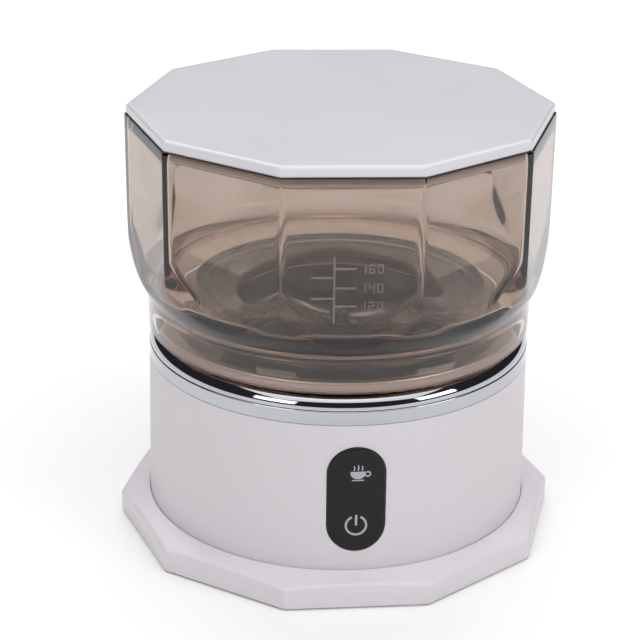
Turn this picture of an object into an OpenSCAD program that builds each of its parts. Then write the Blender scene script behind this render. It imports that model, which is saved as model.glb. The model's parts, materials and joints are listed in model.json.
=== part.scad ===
// Milk frother: a ten-sided clear cup with a lid, on a round heated base with a magnetic whisk drive.
// Millimetres, +Z up, front towards -Y, origin at the middle of the bottom.

/* [Cup] */
// Corner radius of the ten-sided cup
rim_r = 47; // [46:0.5:49]
// Height of the cup's rim
rim_z = 95.8; // [94:0.2:110]
// Thickness of the cup's wall
cup_wall = 2; // [1.6:0.1:2.4]
// Angle at which the cup stands on its round seat
cup_turn = -2.6; // [-18:0.1:18]
// Outer radius of the cup's round skirt
skirt_r = 42.7; // [42:0.1:43]
// Height of the skirt's lower edge
skirt_z = 48.1; // [48:0.1:49]
// Radius of the hole in the cup's floor
mouth_r = 22.3; // [20:0.1:23]

/* [Lid] */
// Gap between the lid's edge and the rim's edge
lid_inset = 0.4; // [0.2:0.1:1]
// Thickness of the lid's slab
lid_thick = 2.3; // [2:0.1:4]
// Depth of the lid's plug below the rim
plug_depth = 2.9; // [2:0.1:4]

/* [Bowl and whisk] */
// Outer radius of the steel bowl
bowl_r = 25.3; // [24.5:0.1:25.4]
// Thickness of the sheet steel
sheet = 0.6; // [0.4:0.1:0.8]
// Height of the bowl's underside, where it meets the heater plate
bowl_z = 31.4; // [31.4:0.1:31.6]
// Height of the top of the whisk's hub
hub_top = 49.1; // [46:0.1:52]
// Radius of the ring that carries the whisk's wire coil
whisk_r = 8.6; // [7:0.1:10]

/* [Base] */
// Corner radius of the ten-sided foot
foot_r = 50.1; // [49:0.1:54]
// Radius of the base body at its bottom
body_r = 43.3; // [43.2:0.1:43.6]
// Radius of the base body at its top
body_top_r = 42.7; // [42.6:0.1:43]
// Height of the base body's top edge
body_top = 41; // [40.5:0.1:41]
// Thickness of the base body's wall
body_wall = 2.2; // [1.8:0.1:2.2]
// Height that the rubber feet lift the foot
foot_lift = 0.4; // [0.2:0.1:1]

/* [Touch panel] */
// Width of the touch panel
panel_w = 12.5; // [10:0.1:16]
// Height of the touch panel
panel_h = 24.4; // [18:0.1:28]
// Height of the touch panel's middle
panel_z = 23.9; // [20:0.1:26]

/* [Hidden] */
$fn = 96;
fine = 0.05;
sides = 10;

// ten-sided figures: the corner radius times flat_ratio is the distance to a flat
flat_ratio = cos(180 / sides);
rim_flat = rim_r * flat_ratio;
inner_flat = rim_flat - cup_wall;
inner_corner = 3;

// shoulder between the flats and the skirt: an arc turned about the axis
shoulder_r = 24;
shoulder_at = [rim_r + 0.1 - shoulder_r, 70.4];
shoulder_from = -34;

// floor of the cup: a shallow funnel that ends in the hole
floor_slope = 0.304;
floor_thick = 2.2;
mouth_z = 54.9;
boss_r = 31.8;
boss_z = 52.6;
floor_fillet = 1.5;
fillet_r = 41.1;
skirt_wall = 2;

// bowl
bowl_corner = 10.8;
flange_r = 29.5;
gasket_thick = 0.8;
flange_z = boss_z - gasket_thick - sheet;

// clamp ring under the bowl's flange
clamp_r = 31;
clamp_z = 49.8;

// whisk
pin_r = 1;
running_fit = 0.05;
pin_top = 41;
hub_r = 2.6;
disc_r = 9;
disc_z = 32.7;
disc_thick = 3.4;
coil_z = 40;
magnet_r = 2;
magnet_thick = 1.6;
magnet_at = 6;
magnet_count = 4;

// seat dish
dish_lip_r = 37.5;
dish_lip_z = 49.7;
dish_top_r = 35.1;
dish_mid = [24.5, 34.4];
dish_low = [21.5, 31.2];
dish_hole_r = 17.6;

// chrome ring
ring_bore = 37.6;
ring_band_z = 44.2;
ring_bead_r = 3.56;
ring_bead_at = [38.6, 44.42];
ring_groove = 0.35;

// collar that holds the dish, with the posts for the base screws
collar_r = 37.4;
collar_wall = 1.5;
flange_thick = 2.2;
flange_bore = 30.5;
post_at = 33.5;
post_r = 2.6;
post_count = 5;
post_start = 54;

// foot
foot_corner = 1.6;
foot_wall = 2.2;
plate_top = 2.6;
flare_z = 7.3;
flare_slope = 0.29;
shell_z = 5;
pocket_top = 4;
pad_r = 4.6;
pad_at = 36;
pad_deep = 0.8;

// heater stack, from the plate that touches the bowl downwards
heater_r = 17.3;
heater_bore = 11;
heater_flange_r = 20.5;
heater_flange_z = 28.4;
element_z = 26;
insulation_z = 25.2;
clamp_plate_z = 24.4;
clamp_plate_r = 30.6;
stack_bore = 12.8;
stud_at = 28;
stud_count = 3;
stud_start = 90;
stud_low = 22;
stud_top = 36;
probe_at = 14.1;
probe_r = 2;
probe_gap = 0.4;

// motor and drive
shaft_r = 1;
motor_r = 12;
motor_z = 5.2;
motor_top = 20.5;
can_wall = 0.8;
damper_wall = 1.1;
mount_wall = 1.8;
mount_top = 18;
ear_at = 18.2;
drive_r = 9.4;
drive_z = 27.4;
drive_top = 30.2;

// touch panel
lens_r = 43.25;
lens_back_r = 41.2;
icon_proud = 0.06;
power_z = 17.9;
cup_icon_z = 29.7;
stroke = 0.46;

// main board
board_x = 24;
board_y = [-6, 20];
board_z = [4, 23];
board_thick = 1.2;

// mains inlet
inlet_w = 18.6;
inlet_h = 10.6;
inlet_z = 15;
inlet_face = 41.9;
inlet_back = 27;
inlet_pin_at = 3.9;

function arc_points(at, r, from, to, steps) =
    [for (i = [0:steps]) let (a = from + (to - from) * i / steps) at + r * [cos(a), sin(a)]];
function floor_top(r) = mouth_z + floor_slope * (r - mouth_r);
function flare_top(r) = flare_z - flare_slope * (r - body_r);

// closed tube of round wire along a path; each point has a direction across the path
function unit(v) = v / norm(v);
function ring_at(path, across, i, r, count) =
    let (t = unit(path[min(i + 1, len(path) - 1)] - path[max(i - 1, 0)]),
        u = unit(cross(t, across)), v = cross(t, u))
    [for (j = [0:count - 1]) path[i] + r * (cos(360 * j / count) * u + sin(360 * j / count) * v)];

module sweep(path, across, r, count) {
    last = len(path) - 1;
    points = [for (i = [0:last]) each ring_at(path, across[i], i, r, count)];
    faces = concat(
        [[for (j = [0:count - 1]) j]],
        [for (i = [0:last - 1], j = [0:count - 1])
            [i * count + j, (i + 1) * count + j, (i + 1) * count + (j + 1) % count]],
        [for (i = [0:last - 1], j = [0:count - 1])
            [i * count + j, (i + 1) * count + (j + 1) % count, i * count + (j + 1) % count]],
        [[for (j = [count - 1:-1:0]) last * count + j]]);
    polyhedron(points = points, faces = faces);
}

// coil spring standing on z = 0
module coil(r, wire, height, turns, steps = 14, count = 6) {
    last = turns * steps;
    path = [for (i = [0:last]) let (a = 360 * i / steps)
        [r * cos(a), r * sin(a), wire + (height - 2 * wire) * i / last]];
    sweep(path, [for (p = path) [0, 0, 1]], wire, count);
}

// round wire from point to point
module wire_run(path, r) {
    sweep(path, [for (p = path) [0.35, 0.2, 0.92]], r, 8);
}

module tube(outer, inner, low, high) {
    translate([0, 0, low]) difference() {
        cylinder(r = outer, h = high - low);
        translate([0, 0, -1]) cylinder(r = inner, h = high - low + 2);
    }
}

module ten_sided(r, corner) {
    offset(r = corner, $fn = 48) offset(delta = -corner) circle(r = r, $fn = sides);
}

module around(count, at, start = 0) {
    for (i = [0:count - 1]) rotate([0, 0, start + i * 360 / count]) translate([at, 0, 0]) children();
}

// Lid

module lid() {
    top = rim_z + lid_thick;
    edge = 0.8;
    plug_flat = inner_flat - 0.35;
    plug_r = plug_flat / flat_ratio;
    rotate([0, 0, cup_turn]) color("#dcd9dd") {
        difference() {
            union() {
                hull() {
                    translate([0, 0, rim_z]) linear_extrude(lid_thick - edge)
                        circle(r = rim_r - lid_inset, $fn = sides);
                    translate([0, 0, rim_z]) linear_extrude(lid_thick)
                        circle(r = rim_r - lid_inset - edge, $fn = sides);
                }
                translate([0, 0, rim_z - plug_depth]) linear_extrude(plug_depth + fine)
                    ten_sided(plug_r, inner_corner);
            }
            translate([0, 0, rim_z - plug_depth - 1]) linear_extrude(plug_depth + 1.4)
                ten_sided(plug_r - 1.7, inner_corner - 1);
            translate([0, 0, rim_z - plug_depth + 0.9]) linear_extrude(1.1) difference() {
                ten_sided(plug_r + 1, inner_corner);
                ten_sided(plug_r - 0.6, inner_corner);
            }
        }
    }
}

module lid_seal() {
    plug_r = (inner_flat - 0.35) / flat_ratio;
    rotate([0, 0, cup_turn]) color("#c9c6c9")
        translate([0, 0, rim_z - plug_depth + 0.9]) linear_extrude(1.1) difference() {
            ten_sided(plug_r + 0.25, inner_corner);
            ten_sided(plug_r - 0.6, inner_corner);
        }
}

// Cup

module cup_outside() {
    turned = concat([[0, skirt_z], [skirt_r, skirt_z], [skirt_r + 0.2, 56.4]],
        arc_points(shoulder_at, shoulder_r, shoulder_from, 0, 14),
        [[shoulder_at[0] + shoulder_r, rim_z], [0, rim_z]]);
    intersection() {
        translate([0, 0, skirt_z]) cylinder(r = rim_r, h = rim_z - skirt_z, $fn = sides);
        rotate_extrude() polygon(turned);
    }
}

module cup_inside() {
    lean = atan(floor_slope);
    touch_r = fillet_r + floor_fillet * sin(lean);
    fillet_at = [fillet_r, floor_top(touch_r) + floor_fillet * cos(lean)];
    turned = concat([[0, boss_z - 1], [mouth_r, boss_z - 1], [mouth_r, mouth_z]],
        arc_points(fillet_at, floor_fillet, lean - 90, 0, 10),
        [[inner_flat, 64.6], [inner_flat + 0.7, 67.2], [inner_flat + 2.5, 71.6], [rim_r, rim_z + 1], [0, rim_z + 1]]);
    intersection() {
        translate([0, 0, boss_z - 1]) linear_extrude(rim_z - boss_z + 2)
            ten_sided(inner_flat / flat_ratio, inner_corner);
        rotate_extrude() polygon(turned);
    }
}

module cup_underside() {
    corner = 3;
    bore = skirt_r - skirt_wall;
    corner_at = [bore - corner, floor_top(bore - corner) - floor_thick - corner];
    rotate_extrude() polygon(concat([[0, skirt_z - 1], [bore, skirt_z - 1]],
        arc_points(corner_at, corner, 0, 100, 8),
        [[boss_r, floor_top(boss_r) - floor_thick], [boss_r, boss_z], [0, boss_z]]));
}

module cup_shell() {
    rotate([0, 0, cup_turn]) color("#a39482", 0.5) difference() {
        cup_outside();
        cup_inside();
        cup_underside();
    }
}

// seven strokes of a plain numeral, 1 wide unit by 1.8 high units
strokes = [[[0, 1.8], [1, 1.8]], [[1, 0.9], [1, 1.8]], [[1, 0], [1, 0.9]], [[0, 0], [1, 0]],
    [[0, 0], [0, 0.9]], [[0, 0.9], [0, 1.8]], [[0, 0.9], [1, 0.9]]];
digit_strokes = [[0, 1, 2, 3, 4, 5], [1, 2], [0, 1, 6, 4, 3], [0, 1, 6, 2, 3], [5, 6, 1, 2],
    [0, 5, 6, 2, 3], [0, 5, 6, 2, 3, 4]];

module bar(from, to, thick) {
    span = to - from;
    translate(from) rotate(atan2(span[1], span[0])) translate([-thick / 2, -thick / 2])
        square([norm(span) + thick, thick]);
}

module numeral(digit, unit, thick) {
    for (s = digit_strokes[digit]) bar(strokes[s][0] * unit, strokes[s][1] * unit, thick);
}

module volume_scale() {
    proud = 0.15;
    line_x = -3.5;
    line_low = 65.4;
    line_high = 79.2;
    thick = 0.42;
    major = [[76.9, [1, 6, 0]], [72.7, [1, 4, 0]], [68.8, [1, 2, 0]]];
    minor = [75, 70.5];
    unit = 0.95;
    rotate([0, 0, cup_turn]) color("#c8beb4")
        translate([0, -rim_flat, 0]) rotate([90, 0, 0]) linear_extrude(proud) {
            bar([line_x, line_low], [line_x, line_high], thick);
            for (z = minor) bar([line_x - 4.4, z], [line_x, z], thick);
            for (m = major) {
                bar([line_x, m[0]], [line_x + 4.3, m[0]], thick);
                for (i = [0:2]) translate([1.8 + i * 1.75, m[0] - 0.9 * unit]) numeral(m[1][i], unit, 0.26);
            }
        }
}

module steel_bowl() {
    corner_at = [bowl_r - bowl_corner, bowl_z + bowl_corner];
    outer = arc_points(corner_at, bowl_corner, -90, 0, 12);
    inner = arc_points(corner_at, bowl_corner - sheet, 0, -90, 12);
    color("#8f8d8b") rotate_extrude() polygon(concat([[0, bowl_z]], outer,
        [[bowl_r, flange_z], [flange_r, flange_z], [flange_r, flange_z + sheet],
        [bowl_r - sheet, flange_z + sheet]], inner, [[0, bowl_z + sheet]]));
}

module bowl_gasket() {
    color("#54504e") tube(flange_r, mouth_r + 0.9, boss_z - gasket_thick, boss_z);
}

// clear ring welded under the cup's floor, which holds the bowl's flange
module clamp_ring() {
    color("#a39482", 0.5) rotate_extrude() polygon([[bowl_r + 0.2, clamp_z], [clamp_r, clamp_z],
        [clamp_r, boss_z], [flange_r + 0.1, boss_z], [flange_r + 0.1, flange_z], [bowl_r + 0.2, flange_z]]);
}

// Whisk

module whisk_pin() {
    color("#c9c9cb") {
        translate([0, 0, bowl_z + sheet]) cylinder(r = 3, h = 0.6);
        translate([0, 0, bowl_z + sheet]) cylinder(r = pin_r, h = pin_top - bowl_z - sheet);
    }
}

module whisk_hub() {
    arms = 4;
    arm_r = 0.8;
    color("#34302f") difference() {
        union() {
            translate([0, 0, disc_z]) cylinder(r = disc_r, h = disc_thick);
            translate([0, 0, disc_z]) cylinder(r = hub_r, h = hub_top - disc_z);
            translate([0, 0, coil_z]) rotate_extrude() translate([whisk_r, 0]) circle(r = 0.6, $fn = 24);
            for (i = [0:arms - 1]) rotate([0, 0, 45 + i * 360 / arms]) translate([0, 0, coil_z])
                rotate([0, 90, 0]) cylinder(r = arm_r, h = whisk_r, $fn = 24);
        }
        translate([0, 0, disc_z - 1]) cylinder(r = pin_r + running_fit, h = pin_top + running_fit - disc_z + 1);
        translate([0, 0, disc_z - 1]) cylinder(r = 3.4, h = 1.3);
        around(magnet_count, magnet_at) translate([0, 0, disc_z - 1])
            cylinder(r = magnet_r, h = magnet_thick + 1, $fn = 32);
    }
}

module whisk_magnets() {
    color("#9c9ea1") around(magnet_count, magnet_at) translate([0, 0, disc_z])
        cylinder(r = magnet_r, h = magnet_thick, $fn = 32);
}

// wire wound round the hub's ring: four lengths, one between each pair of arms
module whisk_coil() {
    wind_r = 1.15;
    wire = 0.24;
    turns = 7;
    steps = 10;
    last = turns * steps;
    sweep_angle = 68;
    color("#c4c4c6") for (q = [0:3]) rotate([0, 0, 45 + q * 90 + (90 - sweep_angle) / 2]) {
        turn = [for (i = [0:last]) sweep_angle * i / last];
        path = [for (i = [0:last]) let (r = whisk_r + wind_r * cos(360 * i / steps))
            [r * cos(turn[i]), r * sin(turn[i]), coil_z + wind_r * sin(360 * i / steps)]];
        sweep(path, [for (a = turn) [-sin(a), cos(a), 0]], wire, 5);
    }
}

// Seat of the cup

module seat_dish() {
    color("#b4b2b0") rotate_extrude() polygon([[dish_hole_r, dish_low[1]], dish_low, dish_mid,
        [dish_top_r, dish_lip_z], [dish_lip_r, dish_lip_z], [dish_lip_r, dish_lip_z - sheet],
        [dish_top_r + 0.4, dish_lip_z - sheet], [dish_mid[0] + 0.6, dish_mid[1] - 0.3],
        [dish_low[0] + 0.3, dish_low[1] - sheet], [dish_hole_r, dish_low[1] - sheet]]);
}

module top_collar() {
    top = dish_lip_z - sheet;
    color("#cfcbce") difference() {
        union() {
            tube(collar_r, collar_r - collar_wall, body_top - fine, top);
            tube(body_top_r - body_wall - 0.1, flange_bore, body_top - flange_thick, body_top);
            around(post_count, post_at, post_start) translate([0, 0, plate_top])
                cylinder(r = post_r, h = body_top - flange_thick - plate_top + fine, $fn = 48);
        }
        around(post_count, post_at, post_start) translate([0, 0, plate_top - 1])
            cylinder(r = 1.2, h = 13, $fn = 32);
    }
}

module chrome_ring() {
    soft = 0.4;
    groove_r = ring_bead_at[0] + ring_bead_r - ring_groove;
    color("#d7d7da") rotate_extrude() union() {
        difference() {
            translate([ring_bore, body_top]) square([body_top_r - ring_bore, ring_band_z - body_top]);
            translate([body_top_r - soft, ring_band_z - soft]) difference() {
                square([soft + 1, soft + 1]);
                circle(r = soft, $fn = 32);
            }
        }
        translate([ring_bore, ring_band_z - 1])
            square([groove_r - ring_bore, 1 + ring_bead_at[1] - ring_band_z]);
        translate([ring_bore, body_top])
            square([ring_bead_at[0] - ring_bore, ring_bead_at[1] + ring_bead_r - body_top]);
        intersection() {
            translate(ring_bead_at) circle(r = ring_bead_r);
            translate([ring_bore, ring_bead_at[1]]) square([10, 10]);
        }
    }
}

// Base body and foot

module pill(w, h) {
    for (side = [-1, 1]) translate([0, side * (h - w) / 2]) circle(d = w);
    square([w, h - w], center = true);
}

module body_shell() {
    inlet_gap = 0.1;
    color("#d0cbcf") difference() {
        translate([0, 0, shell_z]) cylinder(r1 = body_r, r2 = body_top_r, h = body_top - shell_z);
        translate([0, 0, shell_z])
            cylinder(r1 = body_r - body_wall, r2 = body_top_r - body_wall, h = body_top - shell_z);
        translate([0, 0, panel_z]) rotate([90, 0, 0]) linear_extrude(body_r + 5)
            pill(panel_w + 0.2, panel_h + 0.2);
        translate([-inlet_w / 2 - inlet_gap, 30, inlet_z - inlet_h / 2 - inlet_gap])
            cube([inlet_w + 2 * inlet_gap, 20, inlet_h + 2 * inlet_gap]);
    }
}

module foot() {
    bore = body_r - body_wall;
    reach = foot_r + 1;
    flare = [[0, foot_lift], [reach, foot_lift], [reach, flare_top(reach)], [body_r, flare_z], [0, flare_z]];
    color("#d6d1d5") difference() {
        union() {
            difference() {
                intersection() {
                    translate([0, 0, foot_lift]) linear_extrude(flare_z) ten_sided(foot_r, foot_corner);
                    rotate_extrude() polygon(flare);
                }
                translate([0, 0, plate_top]) cylinder(r = bore, h = flare_z);
                translate([0, 0, shell_z]) cylinder(r = body_r + 0.1, h = flare_z);
                translate([0, 0, foot_lift - 1]) linear_extrude(pocket_top - foot_lift + 1) difference() {
                    ten_sided(foot_r - foot_wall, foot_corner);
                    circle(r = body_r - 0.2);
                }
            }
            // slotted holders for the main board
            for (y = board_y) translate([board_x - 1.2, y - 1.5, plate_top - fine])
                cube([board_thick + 2.4, 3, 4]);
        }
        translate([board_x - fine, board_y[0] - 0.1, board_z[0]])
            cube([board_thick + 2 * fine, board_y[1] - board_y[0] + 0.2, 10]);
        around(post_count, post_at, post_start) {
            translate([0, 0, foot_lift - 1]) cylinder(r = 1.6, h = 5, $fn = 32);
            translate([0, 0, foot_lift - 1]) cylinder(r = 3, h = 2.2, $fn = 48);
        }
        around(post_count, pad_at, post_start - 36) translate([0, 0, foot_lift - 1])
            cylinder(r = pad_r, h = pad_deep + 1);
    }
}

module rubber_feet() {
    color("#2c2c2e") around(post_count, pad_at, post_start - 36)
        cylinder(r = pad_r - 0.1, h = foot_lift + pad_deep);
}

module base_screws() {
    head_z = foot_lift + 1.2;
    color("#aeb0b3") around(post_count, post_at, post_start) difference() {
        union() {
            translate([0, 0, head_z - 0.9]) cylinder(r = 2.7, h = 0.9, $fn = 48);
            translate([0, 0, head_z - fine]) cylinder(r = 1.2, h = 10, $fn = 32);
        }
        translate([0, 0, head_z - 0.9]) cube([3, 0.5, 0.7], center = true);
        translate([0, 0, head_z - 0.9]) cube([0.5, 3, 0.7], center = true);
    }
}

// Touch panel

module on_front(r, thick) {
    intersection() {
        translate([0, -r + 6, 0]) rotate([90, 0, 0]) linear_extrude(10) children();
        tube(r + thick, r, 0, body_top);
    }
}

module touch_lens() {
    color("#26272b") on_front(lens_back_r, lens_r - lens_back_r) translate([0, panel_z]) pill(panel_w, panel_h);
}

module power_icon() {
    ring_r = 2.4;
    gap = 50;
    color("#b4b4b8") on_front(lens_r, icon_proud) translate([0, power_z]) {
        difference() {
            circle(r = ring_r);
            circle(r = ring_r - stroke);
            polygon([[0, 0], 4 * [-sin(gap / 2), cos(gap / 2)], 4 * [sin(gap / 2), cos(gap / 2)]]);
        }
        translate([-stroke / 2, 0]) square([stroke, ring_r + 0.1]);
    }
}

module cup_icon() {
    half = 1.6;
    bowl_circle = 1.75;
    brim = 0.95;
    handle_at = [2.05, -0.6];
    steam = 0.24;
    color("#b4b4b8") on_front(lens_r, icon_proud) translate([0.25, cup_icon_z + brim]) {
        intersection() {
            circle(r = bowl_circle);
            translate([-half, -bowl_circle]) square([2 * half, bowl_circle]);
        }
        difference() {
            translate(handle_at) circle(r = 0.68, $fn = 48);
            translate(handle_at) circle(r = 0.38, $fn = 48);
            circle(r = bowl_circle + 0.02);
        }
        translate([-1.3, -2.15]) square([2.6, 0.22]);
        for (x = [-0.85, 0, 0.85]) translate([x, 0.35]) {
            bar([0, 0], [0.12, 0.45], steam);
            bar([0.12, 0.45], [0, x == 0 ? 1.1 : 0.85], steam);
        }
    }
}

module touch_board() {
    board_w = 10.5;
    board_h = 21;
    color("#2f6b4a") translate([-board_w / 2, -39.4, panel_z - board_h / 2]) cube([board_w, 1.2, board_h]);
}

module touch_springs() {
    color("#c8b27a") for (z = [power_z, cup_icon_z]) translate([0, -39.4, z]) rotate([90, 0, 0])
        coil(2, 0.18, 1.7, 3);
}

// Heater

module probe_hole(r, low, high) {
    translate([-probe_at, 0, low]) cylinder(r = r, h = high - low, $fn = 48);
}

module heater_plate() {
    color("#b5b6b8") difference() {
        union() {
            tube(heater_r, heater_bore, heater_flange_z, bowl_z);
            tube(heater_flange_r, heater_bore, heater_flange_z, heater_flange_z + 1.4);
        }
        probe_hole(probe_r + probe_gap, heater_flange_z - 1, bowl_z + 1);
    }
}

module heater_gasket() {
    color("#b5482f") tube(heater_flange_r, heater_r + 0.3, heater_flange_z + 1.4, dish_low[1] - sheet);
}

module heater_element() {
    color("#8a8079") difference() {
        tube(17.6, 14.4, element_z, heater_flange_z);
        translate([-20, -4.5, element_z - 1]) cube([10, 9, 5]);
    }
    color("#8a8079") for (y = [-1, 1]) translate([-15.6, y * 5.6 - 0.6, element_z - 3.4]) cube([1.6, 1.2, 3.5]);
}

module insulation_ring() {
    color("#c9bd9f") difference() {
        tube(20.4, stack_bore, insulation_z, element_z);
        probe_hole(3.3, insulation_z - 1, element_z + 1);
        for (y = [-1, 1]) translate([-16, y * 5.6 - 1, insulation_z - 1]) cube([2.4, 2, 3]);
    }
}

module heater_clamp() {
    color("#a2a3a5") difference() {
        tube(clamp_plate_r, stack_bore, clamp_plate_z, insulation_z);
        probe_hole(probe_r + probe_gap, clamp_plate_z - 1, insulation_z + 1);
        around(stud_count, stud_at, stud_start) translate([0, 0, clamp_plate_z - 1])
            cylinder(r = 1.6, h = 3, $fn = 32);
        for (y = [-1, 1]) translate([-16, y * 5.6 - 1, clamp_plate_z - 1]) cube([2.4, 2, 3]);
    }
}

module heater_studs() {
    color("#a9a9ab") around(stud_count, stud_at, stud_start) translate([0, 0, stud_low])
        cylinder(r = 1.5, h = stud_top - stud_low, $fn = 32);
}

module heater_nuts() {
    color("#9b9c9e") around(stud_count, stud_at, stud_start) translate([0, 0, clamp_plate_z - 2]) difference() {
        cylinder(r = 2.9, h = 2, $fn = 6);
        translate([0, 0, -1]) cylinder(r = 1.5, h = 4, $fn = 32);
    }
}

module drive_cover() {
    wall = 0.8;
    low = heater_flange_z - wall;
    top = bowl_z - 0.1;
    color("#4a4746") difference() {
        union() {
            translate([0, 0, low]) cylinder(r = heater_bore - 0.1, h = top - low);
            translate([0, 0, low]) cylinder(r = stack_bore - 0.2, h = wall);
        }
        translate([0, 0, low - 1]) cylinder(r = heater_bore - 0.1 - wall, h = top - low + 1 - wall);
        probe_hole(3.1, low - 1, heater_flange_z + fine);
    }
}

module probe_tip() {
    collar_top = heater_flange_z - fine;
    color("#c6a35a") translate([-probe_at, 0, 0]) {
        translate([0, 0, 21.8]) cylinder(r = probe_r, h = bowl_z - 21.85, $fn = 48);
        translate([0, 0, collar_top - 0.8]) cylinder(r = 2.9, h = 0.8, $fn = 48);
    }
}

module probe_spring() {
    color("#bdbdc0") translate([-probe_at, 0, insulation_z]) coil(2.55, 0.2, 2.35, 3);
}

module thermostat() {
    color("#3a3735") translate([-22.6, 0, 0]) {
        translate([0, 0, 19]) cylinder(r = 5.8, h = clamp_plate_z - 19);
        for (x = [-1, 1]) translate([x * 3 - 0.4, -1.5, 15.4]) cube([0.8, 3, 3.7]);
    }
}

module thermal_fuse() {
    color("#d8d3c4") rotate([0, 0, 262]) translate([21, 0, clamp_plate_z - 1.3]) rotate([90, 0, 0])
        translate([0, 0, -5]) cylinder(r = 1.3, h = 10, $fn = 32);
}

// Drive and motor

module drive_disc() {
    color("#e5e2dc") difference() {
        union() {
            translate([0, 0, drive_z]) cylinder(r = drive_r, h = drive_top - drive_z);
            translate([0, 0, drive_z - 2.6]) cylinder(r = 2.8, h = 3);
        }
        translate([0, 0, drive_z - 3]) cylinder(r = shaft_r, h = 4.6, $fn = 48);
        around(magnet_count, magnet_at) translate([0, 0, drive_top - magnet_thick])
            cylinder(r = magnet_r, h = magnet_thick + 1, $fn = 32);
    }
}

module drive_magnets() {
    color("#9c9ea1") around(magnet_count, magnet_at) translate([0, 0, drive_top - magnet_thick])
        cylinder(r = magnet_r, h = magnet_thick, $fn = 32);
}

module motor_shaft() {
    low = motor_z + 0.3;
    color("#c2c3c6") translate([0, 0, low]) cylinder(r = shaft_r, h = drive_z + 1.6 - low, $fn = 48);
}

module motor_armature() {
    poles = 5;
    color("#8c5a34") difference() {
        translate([0, 0, 10]) cylinder(r = 8.6, h = 8);
        translate([0, 0, 9]) cylinder(r = shaft_r, h = 10, $fn = 48);
        around(poles, 8.2) translate([0, 0, 9]) cylinder(r = 1.1, h = 10, $fn = 24);
    }
}

module motor_commutator() {
    color("#c27c48") tube(2.6, shaft_r, 7.8, 10);
}

module motor_can() {
    boss = 3;
    color("#b3b5b8") difference() {
        union() {
            translate([0, 0, motor_z]) cylinder(r = motor_r, h = motor_top - motor_z);
            translate([0, 0, motor_top - fine]) cylinder(r = boss, h = 1.5);
        }
        translate([0, 0, motor_z - 1]) cylinder(r = motor_r - can_wall, h = motor_top - motor_z + 1 - can_wall);
        translate([0, 0, motor_top - 2]) cylinder(r = 2.4, h = 4, $fn = 48);
    }
}

module motor_endcap() {
    color("#e0ddd6") difference() {
        translate([0, 0, motor_z]) cylinder(r = motor_r - can_wall, h = 2);
        translate([0, 0, motor_z + 0.2]) cylinder(r = 2.4, h = 3, $fn = 48);
    }
}

module motor_field_magnets() {
    color("#4b4b4f") difference() {
        tube(motor_r - can_wall - 0.05, 9.2, 8.6, 19.2);
        for (side = [-1, 1]) translate([-15, side * 10 - 5, 8]) cube([30, 10, 12]);
    }
}

module motor_bearings() {
    color("#b98d4f") {
        tube(2.4, shaft_r + running_fit, motor_z + 0.2, motor_z + 2.2);
        tube(2.4, shaft_r + running_fit, motor_top - can_wall, motor_top + 1.4);
    }
}

module motor_damper() {
    color("#3a3a3c") difference() {
        translate([0, 0, 4.2]) cylinder(r = motor_r + damper_wall, h = mount_top - 4.2);
        translate([0, 0, motor_z]) cylinder(r = motor_r, h = mount_top);
        cylinder(r = 4.2, h = 10);
    }
}

module motor_mount() {
    inner = motor_r + damper_wall;
    outer = inner + mount_wall;
    color("#e6e3de") difference() {
        union() {
            translate([0, 0, plate_top]) cylinder(r = outer, h = mount_top - plate_top);
            around(3, ear_at, 20) translate([0, 0, plate_top]) cylinder(r = 3.6, h = 2.2, $fn = 48);
        }
        translate([0, 0, 4.2]) cylinder(r = inner, h = mount_top);
        cylinder(r = 4, h = 10);
        around(3, ear_at, 20) cylinder(r = 1.2, h = 10, $fn = 32);
    }
}

module mount_screws() {
    color("#b9b9bb") around(3, ear_at, 20) {
        translate([0, 0, plate_top + 2.2]) cylinder(r = 2.2, h = 1.2, $fn = 32);
        translate([0, 0, plate_top]) cylinder(r = 1.2, h = 2.4, $fn = 32);
    }
}

// Electronics

module main_board() {
    color("#2f6b4a") translate([board_x, board_y[0], board_z[0]])
        cube([board_thick, board_y[1] - board_y[0], board_z[1] - board_z[0]]);
}

module board_capacitor() {
    color("#2b3550") translate([board_x + board_thick, 0, 17.5]) rotate([0, 90, 0])
        cylinder(r = 3.2, h = 9, $fn = 48);
}

module board_transformer() {
    color("#c9a640") translate([board_x + board_thick, 5, 11.5]) cube([8, 9, 9]);
}

module board_relay() {
    color("#2c2c30") translate([board_x + board_thick, 4.6, 5.2]) cube([6, 12, 5.4]);
}

module board_connectors() {
    color("#efece4") for (y = [-4.4, -0.4, 15.4]) translate([board_x - 4, y, 16.4]) cube([4, 3, 5]);
}

module inlet_socket() {
    recess_r = 3.6;
    deep = 12;
    color("#1f1f21") difference() {
        translate([-inlet_w / 2, inlet_back, inlet_z - inlet_h / 2])
            cube([inlet_w, inlet_face - inlet_back, inlet_h]);
        translate([0, inlet_face + 1, inlet_z]) rotate([90, 0, 0]) linear_extrude(deep + 1) {
            for (side = [-1, 1]) translate([side * inlet_pin_at, 0]) circle(r = recess_r);
            square([2 * inlet_pin_at, 5.2], center = true);
        }
        for (side = [-1, 1]) translate([side * inlet_pin_at, inlet_face, inlet_z]) rotate([90, 0, 0])
            cylinder(r = 1.2, h = 20, $fn = 32);
    }
}

module inlet_pins() {
    color("#c9c9cc") for (side = [-1, 1]) translate([side * inlet_pin_at, inlet_face - 2.5, inlet_z])
        rotate([90, 0, 0]) cylinder(r = 1.2, h = 15, $fn = 32);
}

module inlet_wires() {
    brown = [[3.9, 24.3, 15], [3.9, 20.5, 15], [12, 19, 17.5], [19, 17.6, 17.8], [19.8, 17.6, 17.8]];
    blue = [[-3.9, 24.3, 15], [-3.9, 23.3, 15.2], [-3.9, 21.5, 17.5], [8, 21.5, 20], [19, 16.6, 20.2],
        [19.8, 16.6, 20.2]];
    color("#5a4636") wire_run(brown, 0.7);
    color("#3f5f8a") wire_run(blue, 0.7);
}

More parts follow.
